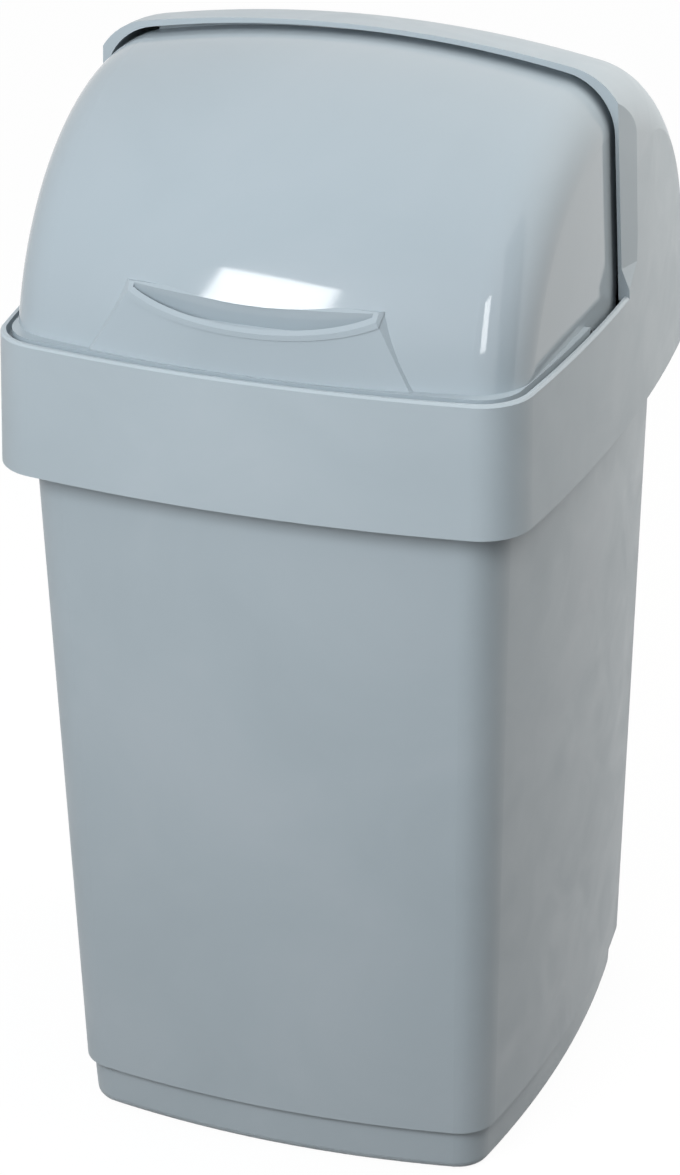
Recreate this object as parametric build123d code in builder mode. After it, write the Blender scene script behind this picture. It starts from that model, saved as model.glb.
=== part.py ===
import os
from math import cos, radians, sin

from build123d import *

# A 25 litre roll-top kitchen bin. Millimetres, +Z up, the front faces -Y,
# X runs to the right, and the origin is on the floor under the middle of the bin.

# Bin body, outside sizes at the middle of each bowed side
body_rim_width, body_rim_depth = 261.4, 284.2
body_side_taper, body_front_taper = 10.0, 11.0
body_base_width = body_rim_width - 2 * body_side_taper
body_base_depth = body_rim_depth - 2 * body_front_taper
body_corner_rim, body_corner_base = 23.0, 20.5
front_bow, side_bow = 11.5, 9.5
body_wall = 2.4
rim_height = 398.0
floor_thickness = 2.6

# Foot step under the body
foot_height = 25.5
foot_inset = 3.0
foot_taper = 1.2
foot_corner = 17.5
foot_edge_round = 5.0
foot_recess_depth = 2.0
foot_rim_width = 13.0

# Rolled rim of the body
rim_reach = 8.6
rim_thickness = 2.4
rim_drop = 11.0

# Collar of the top unit, which stands out from the body and hangs over its rim
collar_side_reach, collar_front_reach = 12.8, 12.9
collar_side_taper, collar_front_taper = 1.1, 2.8
collar_corner = 26.5
collar_height, collar_overlap = 67.7, 24.7
collar_base_width = body_rim_width + 2 * collar_side_reach
collar_base_depth = body_rim_depth + 2 * collar_front_reach
collar_top_width = collar_base_width - 2 * collar_side_taper
collar_top_depth = collar_base_depth - 2 * collar_front_taper
collar_bottom = rim_height - collar_overlap
collar_top = collar_bottom + collar_height
collar_wall = 2.5
collar_edge_chamfer = 1.1
deck_thickness = 2.4
seat_gap = 0.3
flange_thickness = 2.4
flange_overhang = 1.0

# Ledge inside the collar that carries the lip of the flap, and where its ends are
ledge_depth_below_top = 5.2
ledge_thickness = 2.4
ledge_reach = 4.6
ledge_end = -26.0

# Pivot axis of the flap, which is also the axis of the hood
pivot_depth_below_top = 28.0
pivot_y, pivot_z = 0.0, collar_top - pivot_depth_below_top

# Flap: a bowed drum with upright side walls, turned about the pivot axis
flap_front_setback, flap_side_setback = 5.2, 7.4
flap_radius = collar_top_depth / 2 - flap_front_setback
flap_half_width = collar_top_width / 2 - flap_side_setback
drum_bow = 15.2
side_lean = 0.04
hub_radius = 12.0
flap_corner = 28.0
flap_wall = 2.4
flap_rear_angle = 101.0
flap_lip_gap = 2.6
flap_lip_thickness = 5.6
flap_lip_end = -36.0
ear_radius = 10.0
ear_front = 26.0
ear_rear_angle = 125.0
ear_boss_length = 3.0
ear_boss_radius = 8.0

# Stop rib along the rear edge of the flap, behind the hood's rim
rear_rib_width = 216.0
rear_rib_height = 1.7
rear_rib_angle = 98.2

# Hood: the fixed rear quarter of the drum, with its sides in line with the collar's
hood_plane = 9.4
hood_gap, hood_side_gap = 3.0, 2.4
hood_wall = 2.4
hood_side_spread = 1.0
hood_half_width = collar_top_width / 2 + hood_side_spread
hood_side_lean = 0.036
hood_corner = 34.0
bezel_land = 1.2
bezel_spread, bezel_depth = 12.0, 40.0
bezel_fade_width, bezel_fade_height = 5.0, 14.0
bezel_height = 118.0

# Finger grip: a raised pad on the flap, closed at the top by a crescent tray
pad_low_half, pad_high_half = 81.0, 60.4
pad_start, pad_height = 0.5, 34.5
pad_low_setback, pad_high_setback = 1.0, 5.4
pad_low_bow, pad_high_bow = 6.4, 8.4
pad_block_depth = 30.0
tray_height_above_collar, tray_slope = 24.0, 46.0
tray_rim_proud, tray_rim_height = 0.6, 1.5
tray_rim_width, tray_depth = 1.0, 7.5
tray_back_setback, tray_back_bow = 13.1, 2.4

# Pivot pins
pin_radius = 4.0
pin_head_radius, pin_head_thickness = 6.5, 1.8
pin_tip_gap = 0.8
pin_tip_chamfer = 0.6
running_gap = 0.05
boss_radius = 8.5
boss_face_gap = 0.4

# How far a cutting shape runs past what it cuts
overcut = 1.0


def bowed_outline(width, depth, corner, inset=0.0):
    """Rectangle with bowed sides and round corners, centred on the origin."""
    a, b = width / 2 - inset, depth / 2 - inset
    p, q = a - side_bow, b - front_bow
    with BuildSketch() as outline:
        with BuildLine():
            ThreePointArc((-p, -q), (0, -b), (p, -q))
            ThreePointArc((p, -q), (a, 0), (p, q))
            ThreePointArc((p, q), (0, b), (-p, q))
            ThreePointArc((-p, q), (-a, 0), (-p, -q))
        make_face()
        fillet(outline.vertices(), corner - inset)
    return outline.sketch


def bowed_block(low, high, inset=0.0):
    """Solid between two outlines, each given as (height, width, depth, corner)."""
    with BuildPart() as block:
        for height, width, depth, corner in (low, high):
            with BuildSketch(Plane.XY.offset(height)):
                add(bowed_outline(width, depth, corner, inset))
        loft(ruled=True)
    return block.part


def bowed_ring(outer, outer_inset, inner, inner_inset):
    """Band between two bowed blocks, each given as a pair of outlines and an inset."""
    with BuildPart() as ring:
        add(bowed_block(*outer, outer_inset))
        add(bowed_block(*inner, inner_inset), mode=Mode.SUBTRACT)
    return ring.part


def between(low, high, height):
    """The outline at the height given, in line with two others."""
    share = (height - low[0]) / (high[0] - low[0])
    return (height,) + tuple(u + share * (v - u) for u, v in zip(low[1:], high[1:]))


def span(low, high, bottom, top):
    """The two outlines that bound a stretch of a tapered block."""
    return between(low, high, bottom), between(low, high, top)


def drum(radius, half_width, lean, corner):
    """Solid of revolution about the pivot axis: bowed along the axis, with leaning ends."""
    edge_radius = radius - drum_bow
    edge_half = half_width - lean * (edge_radius - hub_radius)
    with BuildPart() as solid:
        with BuildSketch(Plane((0, pivot_y, pivot_z), x_dir=(1, 0, 0), z_dir=(0, -1, 0))) as section:
            with BuildLine():
                ThreePointArc((-edge_half, edge_radius), (0, radius), (edge_half, edge_radius))
                Polyline((edge_half, edge_radius), (half_width, hub_radius), (half_width, 0),
                         (-half_width, 0), (-half_width, hub_radius), (-edge_half, edge_radius))
            make_face()
            fillet(section.vertices().group_by(Axis.Y)[-1], corner)
        revolve(axis=Axis((0, pivot_y, pivot_z), (1, 0, 0)))
    return solid.part


def on_drum(radius, angle):
    """Point (y, z) at a radius and an angle up from the front, about the pivot axis."""
    return pivot_y - radius * cos(radians(angle)), pivot_z + radius * sin(radians(angle))


# Outlines shared by the pieces
body_base = (foot_height, body_base_width, body_base_depth, body_corner_base)
body_rim = (rim_height, body_rim_width, body_rim_depth, body_corner_rim)
collar_low = (collar_bottom, collar_base_width, collar_base_depth, collar_corner)
collar_high = (collar_top, collar_top_width, collar_top_depth, collar_corner)
ledge_top = collar_top - ledge_depth_below_top
lip_bottom = ledge_top + seat_gap
lip_top = lip_bottom + flap_lip_thickness
lip_inset = collar_wall + flap_lip_gap
flap_drum = drum(flap_radius, flap_half_width, side_lean, flap_corner)
flap_hollow = drum(flap_radius - flap_wall, flap_half_width - flap_wall, side_lean, flap_corner - flap_wall)
hood_hollow = drum(flap_radius + hood_gap, flap_half_width + hood_side_gap, side_lean, flap_corner + hood_gap)
hood_drum = drum(flap_radius + hood_gap + hood_wall, hood_half_width, hood_side_lean, hood_corner)

os.makedirs("parts", exist_ok=True)

# Bin body: tapered tub with an inset foot and a rolled rim
foot_top = (foot_height, body_base_width - 2 * foot_inset, body_base_depth - 2 * foot_inset, foot_corner)
foot_low = (0.0, foot_top[1] - 2 * foot_taper, foot_top[2] - 2 * foot_taper, foot_corner)
floor_top = foot_recess_depth + floor_thickness
step_top = foot_height + body_wall
rim_skirt = span(body_base, body_rim, rim_height - rim_drop, rim_height - rim_thickness / 2)

with BuildPart() as bin_body:
    add(bowed_block(foot_low, foot_top))
    fillet(bin_body.edges().group_by(Axis.Z)[0], foot_edge_round)
    add(bowed_block(body_base, body_rim))
    add(bowed_block(*span(body_base, body_rim, rim_height - rim_thickness, rim_height), -rim_reach))
    add(bowed_ring(rim_skirt, -rim_reach, rim_skirt, rim_thickness - rim_reach))
    add(bowed_block(between(foot_low, foot_top, floor_top), (step_top,) + foot_top[1:], body_wall),
        mode=Mode.SUBTRACT)
    add(bowed_block(*span(body_base, body_rim, step_top, rim_height + overcut), body_wall),
        mode=Mode.SUBTRACT)
    with BuildSketch(Plane.XY):
        add(bowed_outline(foot_low[1], foot_low[2], foot_corner, foot_rim_width))
    extrude(amount=foot_recess_depth, mode=Mode.SUBTRACT)
bin_body.part.label = "bin_body"
export_step(bin_body.part, "parts/bin_body.step")

# Top unit: collar, flange, ledge, pivot bosses and hood, moulded as one
flange_bottom = rim_height + seat_gap
flange_top = flange_bottom + flange_thickness
boss_start = flap_half_width + boss_face_gap
boss_length = collar_top_width / 2 - collar_wall / 2 - boss_start
bezel_edge = flap_half_width + hood_side_gap + bezel_land
hood_top = pivot_z + flap_radius + hood_gap + hood_wall + overcut
behind_plane = (Align.CENTER, Align.MIN, Align.MIN)
before_plane = (Align.CENTER, Align.MAX, Align.MIN)

with BuildPart() as bezel_cut:
    for side in (-1, 1):
        for rise, fade in ((0, bezel_fade_width), (bezel_fade_height, 0), (bezel_height, 0)):
            edge = bezel_edge + fade - rise * side_lean
            with BuildSketch(Plane.XY.offset(collar_top + rise)):
                with BuildLine():
                    Polyline((side * edge, hood_plane - overcut),
                             (side * collar_base_width, hood_plane - overcut),
                             (side * collar_base_width, hood_plane + bezel_depth),
                             (side * (edge + bezel_spread), hood_plane + bezel_depth),
                             (side * edge, hood_plane), close=True)
                make_face()
        loft(ruled=True)

with BuildPart() as around_hood:
    with Locations((0, hood_plane, collar_top)):
        Box(collar_base_width, collar_base_depth, 2 * flap_radius, align=behind_plane)
    add(hood_drum, mode=Mode.SUBTRACT)

with BuildPart() as collar_inside:
    add(bowed_block(*span(collar_low, collar_high, collar_bottom - overcut, collar_top + overcut),
                    collar_wall))
    with Locations((0, hood_plane, collar_top - deck_thickness)):
        Box(collar_base_width, collar_base_depth, 2 * deck_thickness, align=behind_plane, mode=Mode.SUBTRACT)

with BuildPart() as ledge:
    ledge_span = span(collar_low, collar_high, ledge_top - ledge_thickness, ledge_top)
    add(bowed_ring(ledge_span, collar_wall / 2, ledge_span, collar_wall + ledge_reach))
    split(bisect_by=Plane.XZ.offset(-ledge_end), keep=Keep.TOP)

with BuildPart() as roll_top_hood:
    add(bowed_block(*span(collar_low, collar_high, collar_bottom, hood_top)))
    with Locations((0, hood_plane, collar_top)):
        Box(collar_base_width, collar_base_depth, 2 * flap_radius, align=before_plane, mode=Mode.SUBTRACT)
    top_edges = roll_top_hood.edges().filter_by_position(Axis.Z, collar_top - 0.01, collar_top + 0.01)
    chamfer(top_edges.filter_by(GeomType.LINE, reverse=True), collar_edge_chamfer)
    add(around_hood.part, mode=Mode.SUBTRACT)
    add(bezel_cut.part, mode=Mode.SUBTRACT)
    add(collar_inside.part, mode=Mode.SUBTRACT)
    add(hood_hollow, mode=Mode.SUBTRACT)
    add(bowed_ring(span(collar_low, collar_high, flange_bottom, flange_top), collar_wall / 2,
                   span(body_base, body_rim, flange_bottom, flange_top), body_wall - flange_overhang))
    add(ledge.part)
    for side in (-1, 1):
        with BuildSketch(Plane((side * boss_start, pivot_y, pivot_z), z_dir=(side, 0, 0))):
            Circle(boss_radius)
            Circle(pin_radius + running_gap, mode=Mode.SUBTRACT)
        extrude(amount=boss_length)
roll_top_hood.part.label = "roll_top_hood"
export_step(roll_top_hood.part, "parts/roll_top_hood.step")

# Flap: bowed shell with side walls, ears, an out-turned lip, a stop rib and the finger grip
with BuildPart() as flap_region:
    with BuildSketch(Plane.YZ.offset(-collar_base_width / 2)):
        with BuildLine():
            Polyline((-collar_base_depth, lip_bottom), (pivot_y - ear_front, lip_bottom),
                     (pivot_y - ear_radius, pivot_z), (pivot_y + ear_radius, pivot_z),
                     on_drum(ear_radius * 2, ear_rear_angle), on_drum(flap_radius * 2, flap_rear_angle),
                     (-collar_base_depth, pivot_z + 2 * flap_radius), close=True)
        make_face()
        with Locations((pivot_y, pivot_z)):
            Circle(ear_radius)
    extrude(amount=collar_base_width)

with BuildPart() as flap_lip:
    add(bowed_block(*span(collar_low, collar_high, lip_bottom, lip_top), lip_inset))
    split(bisect_by=Plane.XZ.offset(-flap_lip_end), keep=Keep.TOP)

with BuildPart() as rear_rib:
    add(drum(flap_radius + rear_rib_height, flap_half_width, side_lean, flap_corner))
    with BuildSketch(Plane.YZ.offset(-rear_rib_width / 2)):
        with BuildLine():
            Polyline((pivot_y, pivot_z), on_drum(2 * flap_radius, rear_rib_angle),
                     on_drum(2 * flap_radius, flap_rear_angle), close=True)
        make_face()
    extrude(amount=rear_rib_width, mode=Mode.INTERSECT)


def pad_block(proud):
    """Pad with its bowed front moved out by an amount, from the lip to above the tray."""
    low = collar_top + pad_start
    rows = ((low, pad_low_half, pad_low_setback, pad_low_bow),
            (low + pad_height, pad_high_half, pad_high_setback, pad_high_bow))
    back = pad_block_depth - flap_radius
    with BuildPart() as block:
        for height, half, setback, bow in rows:
            front = setback - flap_radius - proud
            with BuildSketch(Plane.XY.offset(height)):
                with BuildLine():
                    ThreePointArc((-half, front + bow), (0, front), (half, front + bow))
                    splay = half + back - front - bow
                    Polyline((half, front + bow), (splay, back), (-splay, back), (-half, front + bow))
                make_face()
        loft(ruled=True)
    return block.part


tray_plane = Plane((0, pad_high_setback - flap_radius, collar_top + tray_height_above_collar),
                   x_dir=(1, 0, 0), z_dir=(0, -sin(radians(tray_slope)), cos(radians(tray_slope))))


def tray_slice(proud, thickness):
    """Slice of the pad just under the slanted plane of the tray."""
    with BuildPart() as piece:
        add(pad_block(proud))
        with BuildSketch(tray_plane):
            Rectangle(4 * pad_low_half, 4 * pad_low_half)
        extrude(amount=-thickness, mode=Mode.INTERSECT)
    return piece.part


with BuildPart() as grip_pad:
    add(pad_block(0.0))
    split(bisect_by=tray_plane, keep=Keep.BOTTOM)
    add(tray_slice(tray_rim_proud, tray_rim_height))

def tray_hollow(proud, thickness, back_shift):
    """Slice of the pad in front of the bowed back wall of the tray."""
    back = tray_back_setback - flap_radius + back_shift
    with BuildPart() as piece:
        add(tray_slice(proud, thickness))
        with BuildSketch(Plane.XY.offset(collar_top - thickness)):
            with BuildLine():
                ThreePointArc((-pad_high_half, back + tray_back_bow), (0, back),
                              (pad_high_half, back + tray_back_bow))
                Polyline((pad_high_half, back + tray_back_bow), (pad_high_half, -2 * flap_radius),
                         (-pad_high_half, -2 * flap_radius), (-pad_high_half, back + tray_back_bow))
            make_face()
        extrude(amount=2 * flap_radius, mode=Mode.INTERSECT)
    return piece.part


grip_tray = tray_hollow(-tray_rim_width, tray_depth, 0.0)
tray_housing = tray_hollow(-tray_rim_width / 2, tray_depth + flap_wall, flap_wall)

ear_inside = flap_half_width - flap_wall - ear_boss_length

with BuildPart() as roll_top_flap:
    add(flap_drum)
    add(flap_region.part, mode=Mode.INTERSECT)
    add(flap_lip.part)
    add(rear_rib.part)
    add(grip_pad.part)
    add(flap_hollow, mode=Mode.SUBTRACT)
    add(tray_housing)
    add(grip_tray, mode=Mode.SUBTRACT)
    for side in (-1, 1):
        with BuildSketch(Plane((side * ear_inside, pivot_y, pivot_z), z_dir=(side, 0, 0))):
            Circle(ear_boss_radius)
        extrude(amount=ear_boss_length + flap_wall / 2)
        with BuildSketch(Plane((side * ear_inside, pivot_y, pivot_z), z_dir=(side, 0, 0))):
            Circle(pin_radius + running_gap)
        extrude(amount=2 * ear_boss_length + flap_wall, mode=Mode.SUBTRACT)
roll_top_flap.part.label = "roll_top_flap"
export_step(roll_top_flap.part, "parts/roll_top_flap.step")

# Pivot pins: a head inside each ear, and a shank through it into the boss of the collar
pin_end = collar_top_width / 2 - collar_wall - pin_tip_gap
for side, name in ((-1, "left_pivot_pin"), (1, "right_pivot_pin")):
    with BuildPart() as pivot_pin:
        with BuildSketch(Plane((side * ear_inside, pivot_y, pivot_z), z_dir=(-side, 0, 0))):
            Circle(pin_head_radius)
        extrude(amount=pin_head_thickness)
        with BuildSketch(Plane((side * ear_inside, pivot_y, pivot_z), z_dir=(side, 0, 0))):
            Circle(pin_radius)
        extrude(amount=pin_end - ear_inside)
        tip = pivot_pin.faces().sort_by(Axis.X)[0 if side < 0 else -1]
        chamfer(tip.edges(), pin_tip_chamfer)
    pivot_pin.part.label = name
    export_step(pivot_pin.part, f"parts/{name}.step")
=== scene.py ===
# %% [markdown]
# # A roll-top trash can in moulded plastic
# The real bin is three mouldings: a tapered tub, a top unit whose collar drops over the
# tub's rim, and a glossy flap that rolls back under the hood. Their shapes come from the
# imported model, already to size, so this lesson is about what shapes alone can't give:
# how satin and glossy plastic take the light, and how a studio lights a grey object.

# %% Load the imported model
import math
import bpy
from mathutils import Matrix, Vector

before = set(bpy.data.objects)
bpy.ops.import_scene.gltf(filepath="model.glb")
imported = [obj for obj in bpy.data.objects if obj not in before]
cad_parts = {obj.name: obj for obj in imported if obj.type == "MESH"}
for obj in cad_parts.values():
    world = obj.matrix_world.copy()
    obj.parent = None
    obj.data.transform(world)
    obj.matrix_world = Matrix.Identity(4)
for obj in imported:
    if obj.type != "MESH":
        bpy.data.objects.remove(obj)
bpy.context.view_layer.update()
bpy.ops.object.select_all(action="DESELECT")
print("pieces:", sorted(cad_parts))

# %% [markdown]
# ## The camera
# The bin was photographed from the front right and from above, with a long lens. The
# camera is placed on a line from a point in the middle of the bin, and the small shifts
# put the bin in the frame where the photographer had it. The numbers come from fitting
# the bin's outline to the photograph.

# %% Place the camera
CAMERA_AZIMUTH = math.radians(20.632)
CAMERA_ELEVATION = math.radians(26.965)
CAMERA_ROLL = math.radians(-0.633)
CAMERA_DISTANCE = 2.2691
CAMERA_TARGET = Vector((0, 0, 0.208))
SENSOR_WIDTH, LENS = 36, 132.84
SHIFT_X, SHIFT_Y = -0.01314, 0.0831


def direction(azimuth, elevation):
    """Unit vector from the bin: azimuth turns from the front to the right."""
    level = math.cos(elevation)
    return Vector((math.sin(azimuth) * level, -math.cos(azimuth) * level, math.sin(elevation)))


def facing(back, roll=0.0):
    """Rotation whose +Z is the direction given, turned about it by a roll."""
    right = Vector((0, 0, 1)).cross(back).normalized()
    up = back.cross(right)
    turned = math.cos(roll) * right + math.sin(roll) * up
    return Matrix((turned, back.cross(turned), back)).transposed().to_4x4()


to_camera = direction(CAMERA_AZIMUTH, CAMERA_ELEVATION)
camera_data = bpy.data.cameras.new("photo_camera")
camera_data.sensor_width = SENSOR_WIDTH
camera_data.lens = LENS
camera_data.shift_x, camera_data.shift_y = SHIFT_X, SHIFT_Y
camera = bpy.data.objects.new("photo_camera", camera_data)
bpy.context.scene.collection.objects.link(camera)
camera.matrix_world = (Matrix.Translation(CAMERA_TARGET + to_camera * CAMERA_DISTANCE)
                       @ facing(to_camera, CAMERA_ROLL))
bpy.context.scene.camera = camera
print("camera at", [round(v, 3) for v in camera.location])

# %% [markdown]
# ## Colours and nodes
# Colours are written as sRGB hex values, as a paint chart gives them, and Blender works
# in linear light, so one function turns one into the other. A second one adds a node
# with its settings and its links, which keeps each material below readable, and a third
# empties the tree of a material or world, so that every node in it is one of ours.

# %% Colour and node helpers
WHITE = (1, 1, 1, 1)


def linear(hex_colour):
    """sRGB hex colour to the linear RGBA that Blender's sockets hold."""
    channels = [int(hex_colour[i:i + 2], 16) / 255 for i in (1, 3, 5)]
    return [c / 12.92 if c <= 0.04045 else ((c + 0.055) / 1.055) ** 2.4 for c in channels] + [1.0]


def add_node(tree, kind, links=(), inputs=(), stops=(), **settings):
    """New node with its settings, input values, links, and a colour ramp's stops."""
    node = tree.nodes.new(kind)
    for name, value in settings.items():
        setattr(node, name, value)
    for socket, value in dict(inputs).items():
        node.inputs[socket].default_value = value
    for socket, output in dict(links).items():
        tree.links.new(output, node.inputs[socket])
    if stops:
        elements = node.color_ramp.elements
        while len(elements) < len(stops):
            elements.new(0.5)
        for element, (position, colour) in zip(elements, stops):
            element.position = position
            element.color = colour
    return node


def emptied_tree(owner):
    """Node tree of a new material or world, with nothing in it."""
    owner.use_nodes = True
    owner.node_tree.nodes.clear()
    return owner.node_tree


print("mid grey #808080 is", round(linear("#808080")[0], 3), "in linear light")

# %% [markdown]
# ## Satin polypropylene
# The tub and the top unit are injection-moulded polypropylene out of a spark-eroded
# mould. The eye sees three things: a broad soft highlight, a very fine grain, and a
# faint cloudiness where the melt flowed and where hands have wiped it. The grain is
# really about 0.2 mm. It is drawn at 0.8 mm so that it shows in a render of this size.

# %% Material: satin polypropylene
MM = 0.001
PLASTIC_IOR = 1.49
CLOUD_STOPS = (0.32, 0.5, 0.7)
WIPE_LOW, WIPE_HIGH = 0.3, 0.7
WIPES_PER_CLOUD = 2.6


def moulded_plastic(name, colours, roughness, cloud, grain, dent):
    """Moulded plastic: cloudy colour and shine, and a fine bump. Sizes are in metres."""
    material = bpy.data.materials.new(name)
    tree = emptied_tree(material)
    place = add_node(tree, "ShaderNodeTexCoord").outputs["Object"]
    flow = add_node(tree, "ShaderNodeTexNoise", {"Vector": place},
                    {"Scale": 1 / cloud, "Detail": 4.0, "Roughness": 0.55, "Distortion": 0.6})
    wiped = add_node(tree, "ShaderNodeTexNoise", {"Vector": place},
                     {"Scale": WIPES_PER_CLOUD / cloud, "Detail": 6.0, "Roughness": 0.6,
                      "Distortion": 1.4})
    colour = add_node(tree, "ShaderNodeValToRGB", {"Fac": flow.outputs["Fac"]},
                      stops=[(stop, linear(tone)) for stop, tone in zip(CLOUD_STOPS, colours)])
    shine = add_node(tree, "ShaderNodeMapRange", {"Value": wiped.outputs["Fac"]},
                     {"From Min": WIPE_LOW, "From Max": WIPE_HIGH,
                      "To Min": roughness[0], "To Max": roughness[1]})
    fine = add_node(tree, "ShaderNodeTexNoise", {"Vector": place},
                    {"Scale": 1 / grain, "Detail": 2.0, "Roughness": 0.5})
    bump = add_node(tree, "ShaderNodeBump", {"Height": fine.outputs["Fac"]},
                    {"Strength": 1.0, "Distance": dent})
    surface = add_node(tree, "ShaderNodeBsdfPrincipled",
                       {"Base Color": colour.outputs["Color"],
                        "Roughness": shine.outputs["Result"], "Normal": bump.outputs["Normal"]},
                       {"IOR": PLASTIC_IOR, "Metallic": 0.0})
    add_node(tree, "ShaderNodeOutputMaterial", {"Surface": surface.outputs["BSDF"]})
    print("material:", name)
    return material


satin_polypropylene = moulded_plastic(
    "satin_polypropylene", ("#ABB5BB", "#AEB8BE", "#B2BBC1"), roughness=(0.38, 0.52),
    cloud=110 * MM, grain=0.8 * MM, dent=0.02 * MM)

# %% [markdown]
# ## Glossy ABS
# The flap comes from a polished mould, so it mirrors the window as a crisp patch. Its
# colour is nearly the same grey, a touch darker, because its shine adds light. A slow
# waviness of about 25 mm, what a painter calls orange peel, keeps the reflection from
# looking like glass.

# %% Material: glossy plastic of the flap
glossy_abs = moulded_plastic(
    "glossy_abs", ("#A1ACB3", "#A4AFB6", "#A7B1B8"), roughness=(0.05, 0.10),
    cloud=140 * MM, grain=25 * MM, dent=0.05 * MM)

# %% [markdown]
# ## Acetal pins
# The two pins that the flap turns on are natural acetal, a waxy off-white bearing
# plastic. Only their heads show, inside the flap's ears, and only while it is open.

# %% Material: acetal of the pins
acetal = moulded_plastic(
    "acetal", ("#DAD9D2", "#E0DFD8", "#E5E4DE"), roughness=(0.28, 0.36),
    cloud=12 * MM, grain=0.5 * MM, dent=0.01 * MM)

# %% [markdown]
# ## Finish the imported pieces
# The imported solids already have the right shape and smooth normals, so they stay, and
# each takes its plastic in the material slot of its own object.

# %% Give each piece its plastic
FINISHES = {
    "bin_body": satin_polypropylene,
    "roll_top_hood": satin_polypropylene,
    "roll_top_flap": glossy_abs,
    "left_pivot_pin": acetal,
    "right_pivot_pin": acetal,
}
for node, finish in FINISHES.items():
    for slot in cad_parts[node].material_slots:
        slot.material = finish
    print(node, "is", finish.name)

# %% [markdown]
# ## Floor
# The bin stands on a wide sheet of dark grey paper, which throws little light back, so
# that the lower half of the tub falls off in tone. The camera, mirrors and glass see it
# glow almost white as well, as in a catalogue picture. The light that the lamps lay on
# the paper makes up the rest, and where the bin keeps it off, its shadow shows.

# %% Make the floor
SHEET_SIZE = 80
SHEET_GLOW = 0.94


def seen_as_background(tree):
    """Output that is 1 for rays from the camera, a mirror or glass, and 0 for the rest."""
    light_path = add_node(tree, "ShaderNodeLightPath")
    seen = light_path.outputs["Is Camera Ray"]
    for ray in ("Is Glossy Ray", "Is Transmission Ray"):
        seen = add_node(tree, "ShaderNodeMath", {0: seen, 1: light_path.outputs[ray]},
                        operation="MAXIMUM").outputs[0]
    return seen


bpy.ops.mesh.primitive_grid_add(x_subdivisions=2, y_subdivisions=2, size=SHEET_SIZE,
                                location=(0, 0, 0))
floor = bpy.context.object
floor.name = "studio_floor"
paper = bpy.data.materials.new("white_paper")
tree = emptied_tree(paper)
sheet = add_node(tree, "ShaderNodeBsdfDiffuse", inputs={"Color": linear("#4A4A4A")})
glow = add_node(tree, "ShaderNodeEmission", inputs={"Color": WHITE, "Strength": SHEET_GLOW})
both = add_node(tree, "ShaderNodeAddShader", {0: sheet.outputs[0], 1: glow.outputs[0]})
shown = add_node(tree, "ShaderNodeMixShader",
                 {0: seen_as_background(tree), 1: sheet.outputs[0], 2: both.outputs[0]})
add_node(tree, "ShaderNodeOutputMaterial", {"Surface": shown.outputs[0]})
floor.data.materials.append(paper)
print("floor:", SHEET_SIZE, "m square")

# %% [markdown]
# ## Dome
# A dim dome fills the shadows, a little brighter overhead than at the horizon. Like the
# floor, it is plain white wherever it is seen as background.

# %% Make the dome
DOME_LEVELS = ((0.0, 0.42), (0.4, 0.56), (1.0, 0.76))
world = bpy.data.worlds.new("studio_dome")
bpy.context.scene.world = world
tree = emptied_tree(world)
look = add_node(tree, "ShaderNodeTexCoord").outputs["Generated"]
height = add_node(tree, "ShaderNodeSeparateXYZ", {0: look}).outputs["Z"]
dome = add_node(tree, "ShaderNodeValToRGB", {"Fac": height},
                stops=[(stop, (level, level, level, 1)) for stop, level in DOME_LEVELS])
soft = add_node(tree, "ShaderNodeBackground", {"Color": dome.outputs["Color"]}, {"Strength": 1.0})
white = add_node(tree, "ShaderNodeBackground", inputs={"Color": WHITE, "Strength": 1.0})
shown = add_node(tree, "ShaderNodeMixShader",
                 {0: seen_as_background(tree), 1: soft.outputs[0], 2: white.outputs[0]})
add_node(tree, "ShaderNodeOutputWorld", {"Surface": shown.outputs[0]})
print("dome: from", DOME_LEVELS[0][1], "at the horizon to", DOME_LEVELS[-1][1], "overhead")

# %% [markdown]
# ## Lamps
# A lamp above the front, close to the bin, is what makes the tub fade from top to bottom,
# and one behind the right shoulder lights the side of the hood. They are hidden from
# reflections, as a polarising sheet would do.

# %% Hang the lamps
FLAP_MIDDLE = Vector((0, -0.12, 0.48))


def softbox(name, place, width, tall, radiance, tint, aim=FLAP_MIDDLE, shines=True, mirrors=True):
    """Rectangular lamp that faces a point, with its surface brightness given."""
    data = bpy.data.lights.new(name, "AREA")
    data.shape = "RECTANGLE"
    data.size, data.size_y = width, tall
    data.energy = radiance * width * tall * math.pi
    data.color = linear(tint)[:3]
    lamp = bpy.data.objects.new(name, data)
    bpy.context.scene.collection.objects.link(lamp)
    lamp.matrix_world = Matrix.Translation(place) @ facing((place - aim).normalized())
    lamp.visible_camera = False
    lamp.visible_diffuse = shines
    lamp.visible_glossy = mirrors
    print(name, "gives", round(data.energy, 1), "W")


softbox("front_lamp", Vector((-0.10, -1.05, 1.00)), width=0.7, tall=0.5, radiance=9.2,
        tint="#F4FBFF", aim=Vector((0, -0.14, 0.35)), mirrors=False)
softbox("shoulder_lamp", Vector((0.60, 0.34, 0.92)), width=0.5, tall=0.4, radiance=6.6,
        tint="#FFF9F2", aim=Vector((0.13, 0.05, 0.45)), mirrors=False)

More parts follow.
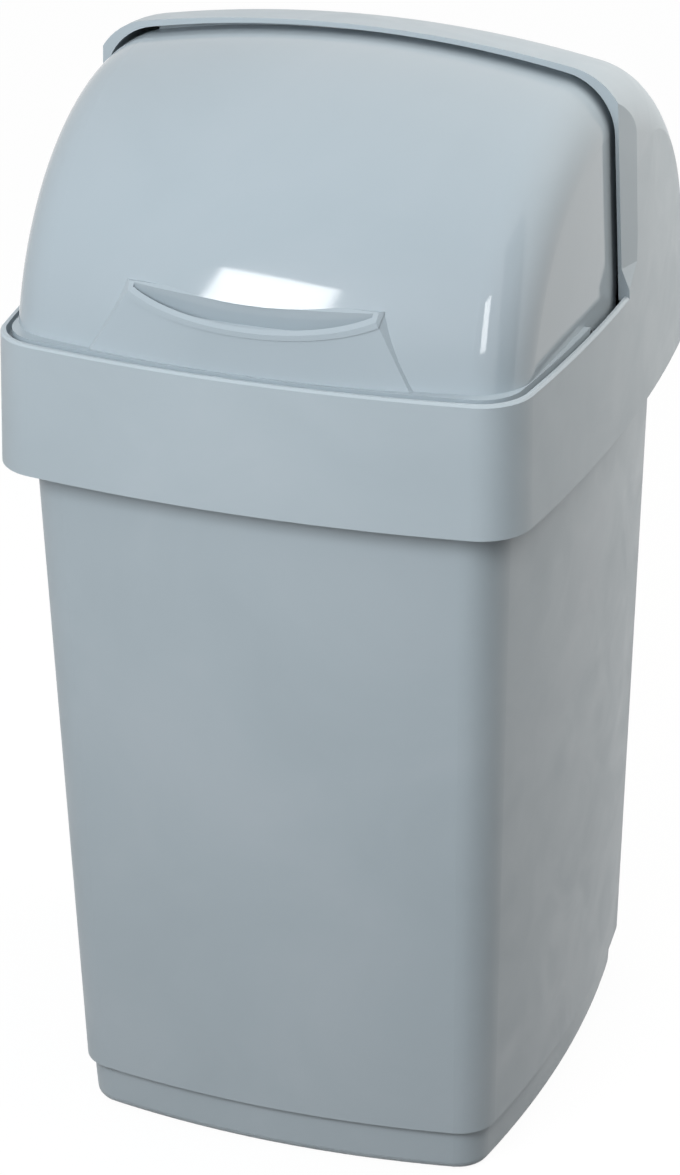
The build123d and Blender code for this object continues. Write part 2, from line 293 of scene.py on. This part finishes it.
# %% [markdown]
# ## Reflections
# Two softboxes make the marks that tell the eye which plastic is glossy: one in front on
# the left, which the flap shows as a square window, and one on the right, which the
# flap's corner draws out into an upright streak. They only show as reflections and light
# nothing else.

# %% Hang the softboxes
SOFTBOX_DISTANCE = 2.0
WINDOW = Vector((-0.314, -0.835, 0.452)).normalized()
STREAK = direction(math.radians(27), math.radians(26))
softbox("window_softbox", FLAP_MIDDLE + WINDOW * SOFTBOX_DISTANCE, width=0.54, tall=0.52,
        radiance=14.0, tint="#FFFFFF", shines=False)
softbox("streak_softbox", FLAP_MIDDLE + STREAK * SOFTBOX_DISTANCE, width=0.36, tall=0.75,
        radiance=9.0, tint="#FFFFFF", shines=False)

# %% [markdown]
# ## Flag
# A black card to the right of the streak gives the dark line down the right corners. A
# product photographer calls such a card a flag. It is a flat grid stood on its edge and
# hidden from the camera.

# %% Stand the flag
FLAG_AZIMUTH = math.radians(66)
FLAG_WIDTH, FLAG_HEIGHT, FLAG_DISTANCE = 0.42, 1.3, 0.75
bpy.ops.mesh.primitive_grid_add(x_subdivisions=2, y_subdivisions=2, size=1)
flag = bpy.context.object
flag.name = "black_flag"
flag_place = direction(FLAG_AZIMUTH, 0) * FLAG_DISTANCE + Vector((0, 0, FLAG_HEIGHT / 2))
flag.matrix_world = (Matrix.Translation(flag_place) @ facing(direction(FLAG_AZIMUTH, 0))
                     @ Matrix.Diagonal((FLAG_WIDTH, FLAG_HEIGHT, 1, 1)))
flag.visible_camera = False
black = bpy.data.materials.new("black_card")
tree = emptied_tree(black)
card = add_node(tree, "ShaderNodeBsdfDiffuse", inputs={"Color": linear("#0A0A0A")})
add_node(tree, "ShaderNodeOutputMaterial", {"Surface": card.outputs[0]})
flag.data.materials.append(black)
print("flag at", [round(v, 2) for v in flag_place])

# %% [markdown]
# ## Finish
# Plain display transform, and the scene is brought up to date.

# %% Finish
bpy.context.scene.view_settings.view_transform = "Standard"
bpy.context.view_layer.update()
